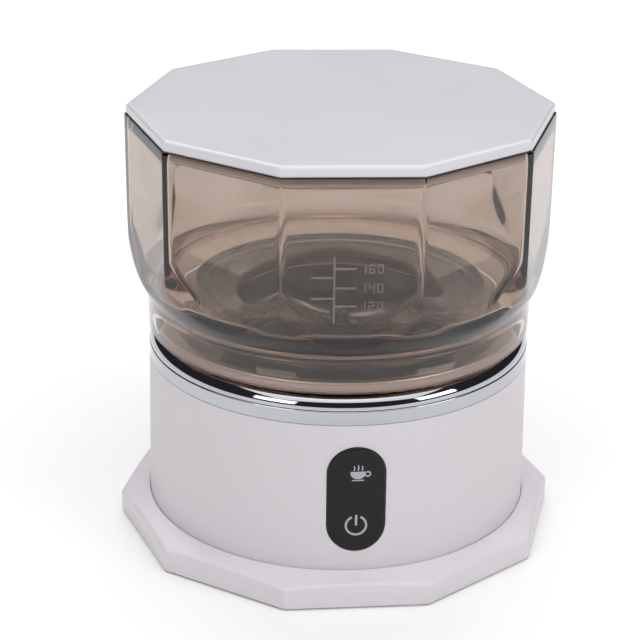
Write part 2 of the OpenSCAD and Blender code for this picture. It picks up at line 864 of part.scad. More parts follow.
module motor_wires() {
    red = [[19.9, -3.4, 17.6], [16.4, -3.4, 17.8], [14.4, -3.2, 20], [12.4, -3, 21.6], [8, -2.6, 21.8],
        [7, -2.6, 21.4], [6.8, -2.6, 20.7]];
    black = [[19.9, -2.4, 20], [16.4, -2.2, 20.2], [12.6, -1.4, 21.8], [8.4, -0.8, 21.9], [7.4, -0.8, 21.4],
        [7.2, -0.8, 20.7]];
    color("#b23a2e") wire_run(red, 0.45);
    color("#222224") wire_run(black, 0.45);
}

module heater_wires() {
    pale = [[-14.8, 5.6, 22.4], [-14.8, 6, 21.4], [-14.8, 10, 20], [-4, 18, 21.5], [10, 15.5, 21.5],
        [19, 1.6, 18.6], [19.7, 1.5, 18.6]];
    red = [[-14.8, -5.6, 22.4], [-14.8, -6.2, 21.4], [-14.8, -11, 20.5], [0, -16.4, 21.5], [14, -11, 22.8],
        [18, -2, 22.8], [18.6, 0.4, 21], [19.7, 0.6, 20.2]];
    color("#d9d5cb") wire_run(pale, 0.6);
    color("#b23a2e") wire_run(red, 0.6);
}

module touch_ribbon() {
    route = [[3, -38.1, 19], [3.4, -37, 19], [8, -34, 19], [20, -22, 19], [22, -7, 19], [22, -4.5, 19]];
    color("#d9d5cb") wire_run(route, 0.5);
}

lid();
lid_seal();
cup_shell();
volume_scale();
steel_bowl();
bowl_gasket();
clamp_ring();
whisk_pin();
whisk_hub();
whisk_magnets();
whisk_coil();
seat_dish();
top_collar();
chrome_ring();
body_shell();
foot();
rubber_feet();
base_screws();
touch_lens();
cup_icon();
power_icon();
touch_board();
touch_springs();
heater_plate();
heater_gasket();
heater_element();
insulation_ring();
heater_clamp();
heater_studs();
heater_nuts();
drive_cover();
probe_tip();
probe_spring();
thermostat();
thermal_fuse();
drive_disc();
drive_magnets();
motor_shaft();
motor_armature();
motor_commutator();
motor_can();
motor_endcap();
motor_field_magnets();
motor_bearings();
motor_damper();
motor_mount();
mount_screws();
main_board();
board_capacitor();
board_transformer();
board_relay();
board_connectors();
inlet_socket();
inlet_pins();
inlet_wires();
motor_wires();
heater_wires();
touch_ribbon();
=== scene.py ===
import json
import math
import bmesh
import bpy
import numpy as np
from mathutils import Matrix, Vector

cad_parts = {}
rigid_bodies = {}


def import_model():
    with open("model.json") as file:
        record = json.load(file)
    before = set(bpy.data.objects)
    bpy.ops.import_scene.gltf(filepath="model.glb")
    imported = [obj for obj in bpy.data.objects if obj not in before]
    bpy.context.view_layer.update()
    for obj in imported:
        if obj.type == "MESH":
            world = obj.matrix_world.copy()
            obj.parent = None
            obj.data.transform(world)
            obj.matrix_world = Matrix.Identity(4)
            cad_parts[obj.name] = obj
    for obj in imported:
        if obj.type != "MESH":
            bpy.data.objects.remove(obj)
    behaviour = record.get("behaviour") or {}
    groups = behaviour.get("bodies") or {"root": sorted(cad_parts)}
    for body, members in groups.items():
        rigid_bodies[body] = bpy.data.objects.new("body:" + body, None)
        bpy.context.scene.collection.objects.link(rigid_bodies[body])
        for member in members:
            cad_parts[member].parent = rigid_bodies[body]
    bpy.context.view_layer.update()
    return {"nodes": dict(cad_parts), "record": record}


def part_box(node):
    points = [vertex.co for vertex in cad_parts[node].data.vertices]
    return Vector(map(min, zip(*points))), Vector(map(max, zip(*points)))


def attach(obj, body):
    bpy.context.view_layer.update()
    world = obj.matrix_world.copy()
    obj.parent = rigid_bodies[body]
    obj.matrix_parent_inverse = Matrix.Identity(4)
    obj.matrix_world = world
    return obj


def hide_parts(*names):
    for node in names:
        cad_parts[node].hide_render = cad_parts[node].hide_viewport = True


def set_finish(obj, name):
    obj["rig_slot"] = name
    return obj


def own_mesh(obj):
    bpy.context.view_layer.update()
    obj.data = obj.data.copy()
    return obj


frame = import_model()
nodes = frame["nodes"]
mm = 0.001
print("frame loaded:", len(nodes), "nodes")


# meshes are given in millimetres and stored in metres

def nodeBox(name):
    low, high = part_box(name)
    return low / mm, high / mm


def showMesh(name, mesh, sharpAngle):  # smooth, but for edges sharper than the angle
    mesh.polygons.foreach_set("use_smooth", [True] * len(mesh.polygons))
    mesh.set_sharp_from_angle(angle=math.radians(sharpAngle))
    piece = bpy.data.objects.new(name, mesh)
    bpy.context.scene.collection.objects.link(piece)
    return piece


def addMesh(name, points, faces, sharpAngle=35):
    mesh = bpy.data.meshes.new(name)
    mesh.from_pydata([Vector(p) * mm for p in points], [], faces)
    work = bmesh.new()
    work.from_mesh(mesh)
    bmesh.ops.remove_doubles(work, verts=work.verts, dist=1e-7)
    bmesh.ops.recalc_face_normals(work, faces=work.faces)
    work.to_mesh(mesh)
    work.free()
    return showMesh(name, mesh, sharpAngle)


def arc(centreX, centreZ, radius, fromAngle, toAngle, steps=10):
    angles = np.radians(np.linspace(fromAngle, toAngle, steps + 1))
    return [(centreX + radius * math.cos(a), centreZ + radius * math.sin(a)) for a in angles]


def rounded(corners, steps=6):  # corners are (x, z, radius); a radius of 0 keeps the corner
    outline = []
    for i, (x, z, radius) in enumerate(corners):
        here = Vector((x, z))
        before = Vector(corners[i - 1][:2]) - here
        after = Vector(corners[(i + 1) % len(corners)][:2]) - here
        if radius <= 0:
            outline.append((x, z))
            continue
        half = before.angle(after) / 2
        cut = min(radius / math.tan(half), 0.49 * before.length, 0.49 * after.length)
        radius = cut * math.tan(half)
        centre = here + (before.normalized() + after.normalized()).normalized() * (radius / math.sin(half))
        start = here + before.normalized() * cut - centre
        end = here + after.normalized() * cut - centre
        first = math.atan2(start.y, start.x)
        turn = (math.atan2(end.y, end.x) - first + math.pi) % (2 * math.pi) - math.pi
        for k in range(steps + 1):
            a = first + turn * k / steps
            outline.append((centre.x + radius * math.cos(a), centre.y + radius * math.sin(a)))
    return outline


# rings of equal length are joined in order; an open loft gets a face at each end
def loft(name, rings, closed=True, sharpAngle=35):
    count = len(rings[0])
    points = [p for ring in rings for p in ring]
    pairs = len(rings) if closed else len(rings) - 1
    faces = []
    for k in range(pairs):
        low, high = k * count, (k + 1) % len(rings) * count
        for j in range(count):
            n = (j + 1) % count
            faces.append((low + j, low + n, high + n, high + j))
    if not closed:
        faces.append(tuple(range(count)))
        faces.append(tuple((len(rings) - 1) * count + j for j in range(count)))
    return addMesh(name, points, faces, sharpAngle)


def lathe(name, outline, count=256, sharpAngle=35):  # outline is a closed loop of (radius, height)
    points, rings = [], []
    for radius, height in outline:
        if radius < 1e-6:
            rings.append([len(points)] * count)
            points.append((0, 0, height))
            continue
        rings.append(list(range(len(points), len(points) + count)))
        for j in range(count):
            a = 2 * math.pi * j / count
            points.append((radius * math.cos(a), radius * math.sin(a), height))
    faces = []
    for k, low in enumerate(rings):
        high = rings[(k + 1) % len(rings)]
        for j in range(count):
            n = (j + 1) % count
            corner = [low[j], low[n], high[n], high[j]]
            corner = [v for i, v in enumerate(corner) if v != corner[i - 1]]
            if len(corner) > 2:
                faces.append(tuple(corner))
    return addMesh(name, points, faces, sharpAngle)


def tube(path, radius, sides=10, closed=False):  # rings of a wire along a path; the ends are flat
    rings, count = [], len(path)
    across = Vector((0.35, 0.2, 0.92))
    for i in range(count):
        if closed:
            along = Vector(path[(i + 1) % count]) - Vector(path[i - 1])
        else:
            along = Vector(path[min(i + 1, count - 1)]) - Vector(path[max(i - 1, 0)])
        along.normalize()
        side = (across - along * across.dot(along)).normalized()
        other = along.cross(side)
        across = side
        turns = [2 * math.pi * j / sides for j in range(sides)]
        rings.append([Vector(path[i]) + radius * (math.cos(t) * side + math.sin(t) * other) for t in turns])
    return rings


def joinPieces(name, parts):
    work = bmesh.new()
    for part in parts:
        work.from_mesh(part.data)
        mesh = part.data
        bpy.data.objects.remove(part)
        bpy.data.meshes.remove(mesh)
    mesh = bpy.data.meshes.new(name)
    work.to_mesh(mesh)
    work.free()
    return showMesh(name, mesh, 35)


tenSides = 10
halfSide = 180 / tenSides


def sectorAngles(perSide=40, extra=(0.12, 0.25, 0.4, 0.6, 0.85, 1.2, 1.7)):
    inside = list(np.linspace(-halfSide, halfSide, perSide + 1)[1:-1])
    inside = [a for a in inside if abs(abs(a) - halfSide) > extra[-1]]
    ends = [s * (halfSide - e) for e in extra for s in (-1, 1)]
    one = sorted(inside + ends + [-halfSide])
    return np.array([18 + 36 * k + a for k in range(tenSides) for a in one])


def tenSided(angles, flat, corner):  # distance from the axis to a ten-sided outline with rounded corners
    fromFlat = np.abs((angles - 18 + halfSide) % 36 - halfSide)
    straight = flat / np.cos(np.radians(fromFlat))
    middle = (flat - corner) / math.cos(math.radians(halfSide))
    alpha = np.radians(halfSide - fromFlat)
    half = math.radians(halfSide)
    limit = math.atan2(corner * math.sin(half), middle + corner * math.cos(half))
    inside = np.clip(corner ** 2 - (middle * np.sin(alpha)) ** 2, 0, None)
    return np.where(alpha < limit, middle * np.cos(alpha) + np.sqrt(inside), straight)


def softLower(a, b, blend):  # the smaller of two distances, with the edge between them rounded
    h = np.clip(blend - np.abs(a - b), 0, None) / blend
    return np.minimum(a, b) - h * h * blend / 4


def ringAt(angles, radii, heights, turn=0):
    a = np.radians(angles + turn)
    heights = np.broadcast_to(heights, a.shape)
    return [tuple(p) for p in np.column_stack([radii * np.cos(a), radii * np.sin(a), heights])]


# the lid is a slab with a plug that fits inside the cup's rim
lidShape = {"turn": -2.6, "inset": 0.4, "rimCorner": 47.0, "edge": 0.9, "corner": 0.5, "slab": 2.3,
            "wallFlat": 42.7, "plugGap": 0.35, "plugWall": 1.615, "plugCorner": 3.0, "ceiling": 0.4,
            "steps": (30, 14, 5, 2.2), "sink": 0.05, "sinkFrom": 14, "break": 0.25, "lead": 0.5,
            "soft": 0.3, "ceilingMiddle": (14, 2)}


def makeLid():
    low, high = nodeBox("lid")
    s = lidShape
    angles = sectorAngles()
    flat = (s["rimCorner"] - s["inset"]) * math.cos(math.radians(halfSide))
    top, rim = high.z, high.z - s["slab"]
    rings = []
    for inset in s["steps"]:  # the top sinks a hair towards its middle, as a moulding does
        rings.append((flat - inset, s["corner"], top - s["sink"] * min(1, inset / s["sinkFrom"])))
    for x, z in arc(flat - s["edge"], top - s["edge"], s["edge"], 90, 0, 8):
        rings.append((x, s["corner"], z))
    rings += [(flat, s["corner"], rim + s["break"]), (flat - s["break"], s["corner"], rim)]
    plug, lead, soft = s["wallFlat"] - s["plugGap"], s["lead"], s["soft"]
    for x, z in ((plug + 0.01, rim), (plug, rim - 0.2), (plug, low.z + lead), (plug - lead, low.z)):
        rings.append((x, s["plugCorner"], z))
    inner, ceiling = plug - s["plugWall"], rim + s["ceiling"]
    for x, z in ((inner + soft, low.z), (inner, low.z + soft),
                 (inner, ceiling - lead), (inner - lead, ceiling)):
        rings.append((x, s["plugCorner"] - 1, z))
    rings.append((*s["ceilingMiddle"], ceiling))
    made = [ringAt(angles, tenSided(angles, f, c), z, s["turn"]) for f, c, z in rings]
    return loft("lidMoulding", made, closed=False)


lidMoulding = makeLid()
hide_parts("lid")
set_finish(lidMoulding, "white_gloss")
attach(lidMoulding, "lid")
print("lid made")


# the cup is one clear moulding: ten flats that run out into a round skirt
cupShape = {"turn": -2.6, "rimCorner": 47.0, "wall": 2.0, "innerCorner": 3.0, "outerCorner": 0.35,
            "skirt": 42.7, "skirtTop": (42.9, 56.4), "shoulder": (23.1, 70.4, 24.0), "shoulderFrom": -34,
            "mouth": (22.3, 54.9), "slope": 0.304, "floor": 2.2, "fillet": (41.1, 1.5), "skirtWall": 2.0,
            "boss": (31.8, 52.6), "edge": 0.45, "scallop": 0.5, "corner": 3.0, "soft": 0.8,
            "skirtEnd": 2.6, "relief": 0.1, "rimBreak": (0.08, 0.3), "flatsTo": 76, "lead": 0.4,
            "run": ((45.2, 71.6), (44.3, 69.4), (43.4, 67.2), (43.0, 65.8), (42.7, 64.6), (42.6, 63.4))}


def cupStations():  # (revolved radius, height, flat or 0 where round, corner radius)
    s = cupShape
    low, high = nodeBox("cup_shell")
    flat = s["rimCorner"] * math.cos(math.radians(halfSide))
    innerFlat = flat - s["wall"]
    free = s["rimCorner"] + 2
    lean = math.degrees(math.atan(s["slope"]))
    out = []
    for x, z in arc(s["skirt"] - s["edge"], low.z + s["edge"], s["edge"], -90, 0, 5):
        out.append((x, z, flat, s["outerCorner"]))
    out.append((s["skirtTop"][0] - s["relief"], s["skirtTop"][1] - s["skirtEnd"], flat, s["outerCorner"]))
    cx, cz, r = s["shoulder"]
    for x, z in arc(cx, cz, r, s["shoulderFrom"], 0, 64):
        out.append((x + s["relief"] * max(0, (z - cz) / r + 1), z, flat, s["outerCorner"]))
    fine, wide = s["rimBreak"]
    for z in np.linspace(cz + 3, high.z - wide, 8):
        out.append((free, z, flat, s["outerCorner"]))
    out.append((free, high.z - fine, flat - fine, s["outerCorner"]))
    out.append((free, high.z, flat - wide, s["outerCorner"]))
    out.append((free, high.z, innerFlat + wide, s["innerCorner"]))
    out.append((free, high.z - fine, innerFlat + fine, s["innerCorner"]))
    for z in np.linspace(high.z - wide, s["flatsTo"], 8):
        out.append((free, z, innerFlat, s["innerCorner"]))
    out += [(x, z, innerFlat, s["innerCorner"]) for x, z in s["run"]]
    fx, fr = s["fillet"]
    touch = fx + fr * math.sin(math.radians(lean))
    mouthX, mouthZ = s["mouth"]
    edgeZ = mouthZ + s["slope"] * (touch - mouthX)  # the floor where it meets the fillet
    fz = edgeZ + fr * math.cos(math.radians(lean))
    for x, z in arc(fx, fz, fr, 0, lean - 90, 16):
        out.append((x, z, innerFlat, s["innerCorner"]))
    bossX, bossZ = s["boss"]
    for share in (0.75, 0.5, 0.25):
        inward = share * (touch - mouthX)
        out.append((mouthX + inward, mouthZ + s["slope"] * inward, 0, 0))
    mouth = rounded([(touch, edgeZ, 0), (mouthX, mouthZ, s["soft"]), (mouthX, bossZ, 0)])
    out += [(x, z, 0, 0) for x, z in mouth[1:]]
    rise = mouthZ + s["slope"] * (bossX - mouthX) - s["floor"]  # underside of the floor at the boss
    out += [(x, z, 0, 0) for x, z in rounded([(mouthX, bossZ, 0), (bossX, bossZ, s["soft"]),
            (bossX, rise, s["soft"]), (bossX + 2, rise + 2 * s["slope"], 0)])[1:]]
    bore = s["skirt"] - s["skirtWall"]
    cornerX = bore - s["corner"]
    cornerZ = mouthZ + s["slope"] * (cornerX - mouthX) - s["floor"] - s["corner"]
    for x, z in arc(cornerX, cornerZ, s["corner"], 100, 0, 12):
        out.append((x, z, 0, 0))
    out.append((bore, low.z + s["lead"], 0, 0))
    out.append((bore + s["lead"], low.z, 0, 0))
    return out


def makeCup():
    s = cupShape
    angles = sectorAngles(perSide=44)
    rings = []
    for radius, height, flat, corner in cupStations():
        radii = np.full(angles.shape, float(radius))
        if flat:
            radii = softLower(radii, tenSided(angles, flat, corner), s["scallop"])
        rings.append(ringAt(angles, radii, height, s["turn"]))
    return loft("cupMoulding", rings, sharpAngle=50)


cupMoulding = makeCup()
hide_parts("cup_shell")
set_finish(cupMoulding, "smoky_clear")
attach(cupMoulding, "cup")
print("cup made")


# bowl, dish and ring are turned about the axis
bowlShape = {"sheet": 0.6, "corner": 10.8, "wall": 25.3, "flange": 29.5, "flat": 8, "lip": 0.25,
             "bend": 0.3, "mouth": 0.8, "steps": 20}


def makeBowl():
    s = bowlShape
    low, high = nodeBox("steel_bowl")
    top, bottom, sheet, wall = high.z, low.z, s["sheet"], s["wall"]
    bend = (wall - s["corner"], bottom + s["corner"])
    outline = [(0, bottom), (s["flat"], bottom)] + arc(*bend, s["corner"], -90, 0, s["steps"])
    outline += rounded([
        (wall, bend[1], 0), (wall, top - sheet, s["bend"]), (s["flange"], top - sheet, s["lip"]),
        (s["flange"], top, s["lip"]), (wall - sheet, top, s["mouth"]), (wall - sheet, bend[1], 0)])[1:-1]
    outline += arc(*bend, s["corner"] - sheet, 0, -90, s["steps"])
    outline += [(s["flat"], bottom + sheet), (0, bottom + sheet)]
    return lathe("drawnBowl", outline)


# each corner of the dish is (radius, height, rounding); the rim's heights are taken down from its top
dishShape = {"upper": ((17.6, 31.2, 0.15), (21.5, 31.2, 0.8), (24.5, 34.4, 2.0)),
             "rim": ((35.1, 0, 0.7), (37.5, 0, 0.25), (37.5, 0.6, 0.2), (35.5, 0.6, 0.4)),
             "lower": ((25.1, 34.1, 1.5), (21.8, 30.6, 0.6), (17.6, 30.6, 0.15)), "parts": 320}


def makeDish():
    s = dishShape
    top = nodeBox("seat_dish")[1].z
    rim = [(x, top - down, soft) for x, down, soft in s["rim"]]
    return lathe("spunDish", rounded([*s["upper"], *rim, *s["lower"]]), s["parts"])


ringShape = {"bore": 37.6, "outer": 42.7, "bandTop": 44.2, "bead": (38.6, 44.42, 3.56), "full": 4.0,
             "groove": 0.35, "soft": 0.4, "parts": 512}


def makeRing():
    s = ringShape
    low = nodeBox("chrome_ring")[0]
    bx, bz, br = s["bead"]
    fullness = s["full"] / br  # the bead is a little wider than round, and shows more of the lamps
    bandEdge = bx + s["full"] - s["groove"]
    outline = rounded([
        (s["bore"], low.z, 0.2), (s["outer"], low.z, 0.25), (s["outer"], s["bandTop"], s["soft"]),
        (bandEdge, s["bandTop"], 0.06), (bandEdge, bz, 0.05), (bx + s["full"], bz, 0.0)], 8)
    outline += [(bx + (x - bx) * fullness, z) for x, z in arc(bx, bz, br, 4, 90, 28)]
    outline += [(s["bore"] + 0.2, bz + br), (s["bore"], bz + br - 0.2)]
    return lathe("platedRing", outline, s["parts"], 40)


for piece, node, slot, body in ((makeBowl(), "steel_bowl", "bowl_steel", "cup"),
                                (makeDish(), "seat_dish", "dish_steel", "base"),
                                (makeRing(), "chrome_ring", "chrome_plate", "base")):
    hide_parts(node)
    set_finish(piece, slot)
    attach(piece, body)
print("bowl, dish and ring made")


# the foot rises gently from ten straight edges to the round body
footShape = {"corner": 50.1, "cornerRound": 1.6, "body": 43.3, "rise": 7.3, "slope": 0.29, "edge": 0.8,
             "wall": 2.2, "pocket": 4.0, "seat": 5.0, "bore": 41.1, "plate": 2.6,
             "gap": 0.05, "fillet": 0.3, "filletLow": 0.25, "plateEdge": 39.0,
             "hem": ((0, 0.4), (0.12, 0.12), (0.4, 0)), "groove": 0.2}


def footTop(radius):
    return footShape["rise"] - footShape["slope"] * (radius - footShape["body"])


def makeFoot():
    s = footShape
    low = nodeBox("foot")[0]
    angles = sectorAngles(perSide=36)
    flat = s["corner"] * math.cos(math.radians(halfSide))
    rim = tenSided(angles, flat, s["cornerRound"])
    circle = np.full(angles.shape, s["body"])
    bore = np.full(angles.shape, s["bore"])
    start = circle + s["fillet"]  # a small fillet runs round the body
    rings = [ringAt(angles, bore, s["plate"]), ringAt(angles, bore, s["seat"]),
             ringAt(angles, circle + s["gap"], s["seat"]),
             ringAt(angles, circle + s["gap"], s["rise"] - s["filletLow"]),
             ringAt(angles, start, footTop(start[0]))]
    for share in np.linspace(0.08, 1, 8):
        r = start + (rim - s["edge"] * 1.4 - start) * share
        rings.append(ringAt(angles, r, footTop(r)))
    lean = math.degrees(math.atan(s["slope"]))
    crest = footTop(rim - s["edge"] + s["edge"] * math.sin(math.radians(lean)))
    for a in np.radians(np.linspace(90 - lean, 0, 9)):
        inset = tenSided(angles, flat - s["edge"] * (1 - math.cos(a)), s["cornerRound"])
        rings.append(ringAt(angles, inset, crest - s["edge"] * (1 - math.sin(a))))
    for inset, above in (*s["hem"], (s["wall"], 0)):
        rings.append(ringAt(angles, tenSided(angles, flat - inset, s["cornerRound"]), low.z + above))
    rings.append(ringAt(angles, tenSided(angles, flat - s["wall"], s["cornerRound"]), s["pocket"]))
    inside = circle - s["groove"]
    rings += [ringAt(angles, inside, s["pocket"]), ringAt(angles, inside, low.z),
              ringAt(angles, np.full(angles.shape, s["plateEdge"]), low.z)]
    return loft("footMoulding", rings)


# the whisk is a hub with a disc and a ring, and wire wound round that ring
whiskShape = {"disc": (9.0, 3.4), "hub": 2.6, "bore": (1.05, 41.05), "ring": 8.6, "rod": 0.6,
              "coilHeight": 40.0, "arm": 0.8, "arms": 4, "firstArm": 45, "armFrom": 1.5, "wire": 0.24,
              "wind": 1.15, "turns": 15, "steps": 16, "spread": 74}


def makeHub():
    s = whiskShape
    low, high = nodeBox("whisk_hub")
    disc, thick = s["disc"]
    hub, step, bore = s["hub"], low.z + thick, s["bore"]
    body = lathe("hubBody", rounded([
        (bore[0], low.z, 0), (disc, low.z, 0.4), (disc, step, 0.8), (4.2, step, 1.2),
        (hub + 0.25, step + 1.6, 1.0), (hub - 0.15, high.z - 1.6, 0.6), (hub - 0.3, high.z, 0.9),
        (0.8, high.z, 0.3), (0.6, high.z - 0.5, 0.2), (0, high.z - 0.5, 0), (0, bore[1], 0),
        (*bore, 0)]), 128)
    turns = np.linspace(0, 2 * math.pi, 121)[:-1]
    path = [(s["ring"] * math.cos(t), s["ring"] * math.sin(t), s["coilHeight"]) for t in turns]
    parts = [body, loft("hubRing", tube(path, s["rod"], 16, closed=True))]
    for k in range(s["arms"]):
        t = math.radians(s["firstArm"] + 360 * k / s["arms"])
        reach = np.linspace(s["armFrom"], s["ring"], 6)
        arm = [(r * math.cos(t), r * math.sin(t), s["coilHeight"]) for r in reach]
        parts.append(loft("hubArm", tube(arm, s["arm"], 16), closed=False))
    return joinPieces("whiskHub", parts)


def makeWhiskCoil():
    s = whiskShape
    parts = []
    count = s["turns"] * s["steps"]
    for q in range(s["arms"]):
        path = []
        for i in range(count + 1):
            t = math.radians(s["firstArm"] + q * 90 + (90 - s["spread"]) / 2 + s["spread"] * i / count)
            a = 2 * math.pi * i / s["steps"]
            r = s["ring"] + s["wind"] * math.cos(a)
            path.append((r * math.cos(t), r * math.sin(t), s["coilHeight"] + s["wind"] * math.sin(a)))
        parts.append(loft("coilLength", tube(path, s["wire"], 8), closed=False))
    return joinPieces("whiskCoil", parts)


# the probe's spring, built as a fixed helix; in the base it shortens as the cup presses the probe down
springShape = {"wire": 0.2, "turns": 3, "steps": 24, "travel": 0.6}


def makeProbeSpring():
    s = springShape
    low, high = nodeBox("probe_spring")
    middle = (low + high) / 2
    ring = (high.y - low.y) / 2 - s["wire"]
    path = []
    for i in range(s["turns"] * s["steps"] + 1):
        a = 2 * math.pi * i / s["steps"]
        share = i / (s["turns"] * s["steps"])
        height = low.z + s["wire"] + (high.z - low.z - 2 * s["wire"]) * share
        path.append((middle.x + ring * math.cos(a), middle.y + ring * math.sin(a), height))
    piece = loft("probeSpring", tube(path, s["wire"], 10), closed=False)
    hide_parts("probe_spring")
    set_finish(piece, "coil_steel")
    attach(piece, "base")
    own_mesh(piece)


makeProbeSpring()
print("probe spring made")


# the touch window is a pill with a fine bevel, bent round the body
# the window's rings are (inset, distance back from its front)
windowShape = {"wide": 12.5, "high": 24.4, "middle": 23.9, "radius": 43.25,
               "rings": ((0, 1.95), (0, 0.3), (0.08, 0.14), (0.2, 0.04), (0.4, 0), (1.4, 0), (3, 0),
                         (4.6, 0), (6, 0))}


def pillOutline(wide, high, count=48):
    half, rise = wide / 2, (high - wide) / 2
    upper = [(x, z + rise) for x, z in arc(0, 0, half, 0, 180, count)]
    lower = [(x, z - rise) for x, z in arc(0, 0, half, 180, 360, count)]
    return upper + lower


def makeWindow():
    s = windowShape
    rings = []
    for inset, back in s["rings"]:
        radius = s["radius"] - back
        outline = pillOutline(s["wide"] - 2 * inset, s["high"] - 2 * inset)
        rings.append([(x, -math.sqrt(radius ** 2 - x ** 2), z + s["middle"]) for x, z in outline])
    return loft("touchWindow", rings, closed=False)


for piece, node, slot, body in ((makeFoot(), "foot", "white_foot", "base"),
                                (makeHub(), "whisk_hub", "dark_plastic", "whisk"),
                                (makeWhiskCoil(), "whisk_coil", "coil_steel", "whisk"),
                                (makeWindow(), "touch_lens", "panel_black", "base")):
    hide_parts(node)
    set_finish(piece, slot)
    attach(piece, body)
print("foot, whisk and touch window made")


def toLinear(hexColour):
    channels = [int(hexColour[i:i + 2], 16) / 255 for i in (1, 3, 5)]
    return tuple(c / 12.92 if c <= 0.04045 else ((c + 0.055) / 1.055) ** 2.4 for c in channels) + (1.0,)


def addNode(tree, kind, settings=None, links=None):
    node = tree.nodes.new(kind)
    for key, value in (settings or {}).items():
        if isinstance(key, int) or key in node.inputs:
            node.inputs[key].default_value = value
        else:
            setattr(node, key, value)
    for key, source in (links or {}).items():
        tree.links.new(source, node.inputs[key])
    return node


def startMaterial(name, shader):  # an empty tree with the principled shader and its output
    material = bpy.data.materials.new(name)
    material.use_nodes = True
    tree = material.node_tree
    tree.nodes.clear()
    surface = addNode(tree, "ShaderNodeBsdfPrincipled", shader)
    addNode(tree, "ShaderNodeOutputMaterial", links={"Surface": surface.outputs[0]})
    place = addNode(tree, "ShaderNodeTexCoord")
    return material, tree, surface, place.outputs["Object"]


def perMetre(sizeMm):  # texture scale that makes a pattern of this size
    return 1 / (sizeMm * mm)


def colourBetween(tree, factor, low, high):
    mix = addNode(tree, "ShaderNodeMix", {
        "data_type": "RGBA", 6: toLinear(low), 7: toLinear(high)}, {0: factor})
    return mix.outputs[2]


def spread(tree, value, low, high, fromLow=0.3, fromHigh=0.7):
    return addNode(tree, "ShaderNodeMapRange", {
        "From Min": fromLow, "From Max": fromHigh, "To Min": low, "To Max": high},
        {"Value": value}).outputs[0]


# plastic or rubber out of a mould: tone drifts along the flow, and the tool leaves a fine grain
def moulded(name, low, high, rough, ior, grainMm, depthMm, flowMm=18, **more):
    material, tree, surface, place = startMaterial(name, {"IOR": ior, **more})
    flow = addNode(tree, "ShaderNodeTexNoise", {
        "Scale": perMetre(flowMm), "Detail": 2.0}, {"Vector": place})
    grain = addNode(tree, "ShaderNodeTexNoise", {
        "Scale": perMetre(grainMm), "Detail": 3.0}, {"Vector": place})
    bump = addNode(tree, "ShaderNodeBump", {
        "Strength": 1.0, "Distance": depthMm * mm}, {"Height": grain.outputs[0]})
    tree.links.new(colourBetween(tree, flow.outputs[0], low, high), surface.inputs["Base Color"])
    tree.links.new(spread(tree, flow.outputs[0], rough * 0.88, rough * 1.12), surface.inputs["Roughness"])
    tree.links.new(bump.outputs[0], surface.inputs["Normal"])
    return material


# metal worked while it turns: faint rings about the axis and a hand-polished drift
def turned(name, low, high, rough, lineMm, depthMm, **more):
    material, tree, surface, place = startMaterial(name, {"Metallic": 1.0, **more})
    parts = addNode(tree, "ShaderNodeSeparateXYZ", links={0: place})
    flat = addNode(tree, "ShaderNodeCombineXYZ", links={0: parts.outputs[0], 1: parts.outputs[1]})
    radius = addNode(tree, "ShaderNodeVectorMath", {"operation": "LENGTH"}, {0: flat.outputs[0]})
    along = addNode(tree, "ShaderNodeCombineXYZ", links={0: radius.outputs["Value"], 1: parts.outputs[2]})
    lines = addNode(tree, "ShaderNodeTexNoise", {
        "Scale": perMetre(lineMm), "Detail": 2.0}, {"Vector": along.outputs[0]})
    smear = addNode(tree, "ShaderNodeTexNoise", {"Scale": perMetre(9), "Detail": 3.0}, {"Vector": place})
    bump = addNode(tree, "ShaderNodeBump", {
        "Strength": 1.0, "Distance": depthMm * mm}, {"Height": lines.outputs[0]})
    tree.links.new(colourBetween(tree, smear.outputs[0], low, high), surface.inputs["Base Color"])
    tree.links.new(spread(tree, smear.outputs[0], rough * 0.75, rough * 1.3), surface.inputs["Roughness"])
    tree.links.new(bump.outputs[0], surface.inputs["Normal"])
    return material


# clear plastic out of a polished mould: the skin takes a little light, and the depth takes the rest
def clearMoulding(name, skin, depthColour, density, rough, ior, flowMm=14, waveMm=0.006):
    material, tree, surface, place = startMaterial(name, {
        "Base Color": toLinear(skin), "IOR": ior, "Transmission Weight": 1.0, "Roughness": rough})
    flow = addNode(tree, "ShaderNodeTexNoise", {
        "Scale": perMetre(flowMm), "Detail": 1.0}, {"Vector": place})
    bump = addNode(tree, "ShaderNodeBump", {
        "Strength": 1.0, "Distance": waveMm * mm}, {"Height": flow.outputs[0]})
    tree.links.new(bump.outputs[0], surface.inputs["Normal"])
    lamps = addNode(tree, "ShaderNodeBsdfTransparent", {"Color": toLinear(skin)})
    rays = addNode(tree, "ShaderNodeLightPath")
    both = addNode(tree, "ShaderNodeMixShader", links={
        0: rays.outputs["Is Shadow Ray"], 1: surface.outputs[0], 2: lamps.outputs[0]})
    inside = addNode(tree, "ShaderNodeVolumeAbsorption", {
        "Color": toLinear(depthColour), "Density": density})
    output = next(n for n in tree.nodes if n.type == "OUTPUT_MATERIAL")
    tree.links.new(both.outputs[0], output.inputs["Surface"])
    tree.links.new(inside.outputs[0], output.inputs["Volume"])
    return material


radiansPerBand = 6.283  # a wave's scale counts radians


